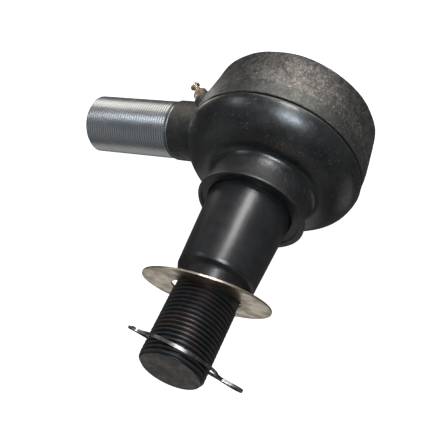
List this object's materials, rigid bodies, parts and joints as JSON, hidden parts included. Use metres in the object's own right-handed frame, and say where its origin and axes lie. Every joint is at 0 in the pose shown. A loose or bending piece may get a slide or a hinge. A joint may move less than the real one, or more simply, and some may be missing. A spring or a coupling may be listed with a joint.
{
  "type": "rod end bearing",
  "caption": "Heavy-duty rod end: a tapered, threaded ball stud in a forged head with a dust boot, grease nipple and threaded shank, with washer and split pin.",
  "frame": {"origin": "centre of the flat back of the head, on the stud axis; the ball centre is 36.5 mm above it", "axes": "+Z along the stud towards its free end; the threaded shank points along -X"},
  "size_m": [0.2174, 0.1258, 0.2279],
  "materials": {
    "forged_steel": "forged and blasted, dark phosphated; machined bright thread on the shank",
    "stud_steel": "ground taper, dark phosphated, satin",
    "boot_rubber": "black satin moulded rubber",
    "seat_polymer": "moulded acetal, natural",
    "spring_steel": "oil-tempered, dark",
    "zinc_plate": "zinc plated, pale yellow passivated",
    "nipple_zinc": "zinc plated, yellow passivated",
    "seal_rubber": "nitrile",
    "valve_steel": "polished ball"
  },
  "bodies": {
    "head": {"housing": "forged_steel", "closure_cap": "forged_steel", "cap_seal_ring": "seal_rubber", "snap_ring": "spring_steel", "disc_spring_upper": "spring_steel", "disc_spring_lower": "spring_steel", "boot_rim_ring": "spring_steel", "nipple_body": "nipple_zinc", "nipple_spring": "spring_steel"},
    "lower_bearing": {"lower_seat": "seat_polymer", "spring_plate": "spring_steel"},
    "swing": {"upper_seat": "seat_polymer", "dust_boot": "boot_rubber"},
    "boot_neck": {"boot_neck_sleeve": "spring_steel"},
    "stud": {"ball_stud": "stud_steel"},
    "washer": {"stud_washer": "zinc_plate"},
    "pin": {"split_pin": "spring_steel"},
    "nipple_valve": {"nipple_ball": "valve_steel"}
  },
  "joints": [
    {"name": "swing_turn", "type": "hinge", "parent": "head", "child": "swing", "pos_m": [0, 0, 0.0365], "axis": [0, 0, 1], "continuous": true},
    {"name": "stud_tilt", "type": "hinge", "parent": "swing", "child": "boot_neck", "pos_m": [0, 0, 0.0365], "axis": [0, 1, 0], "range_deg": [-20, 20], "deforming": ["dust_boot"]},
    {"name": "stud_spin", "type": "hinge", "parent": "boot_neck", "child": "stud", "pos_m": [0, 0, 0.0365], "axis": [0, 0, 1], "continuous": true},
    {"name": "washer_slide", "type": "slide", "parent": "stud", "child": "washer", "axis": [0, 0, 1], "range_m": [-0.0004, 0.0345]},
    {"name": "pin_shift", "type": "slide", "parent": "stud", "child": "pin", "axis": [-0.7547, 0.6561, 0], "range_m": [-0.002, 0.002]},
    {"name": "seat_take_up", "type": "slide", "parent": "head", "child": "lower_bearing", "axis": [0, 0, 1], "range_m": [-0.0004, 0], "stiffness_N_per_m": 20000, "deforming": ["disc_spring_upper", "disc_spring_lower"]},
    {"name": "valve_press", "type": "slide", "parent": "head", "child": "nipple_valve", "axis": [0.7022, -0.4219, 0.5736], "range_m": [0, 0.0012], "stiffness_N_per_m": 400, "deforming": ["nipple_spring"]}
  ]
}
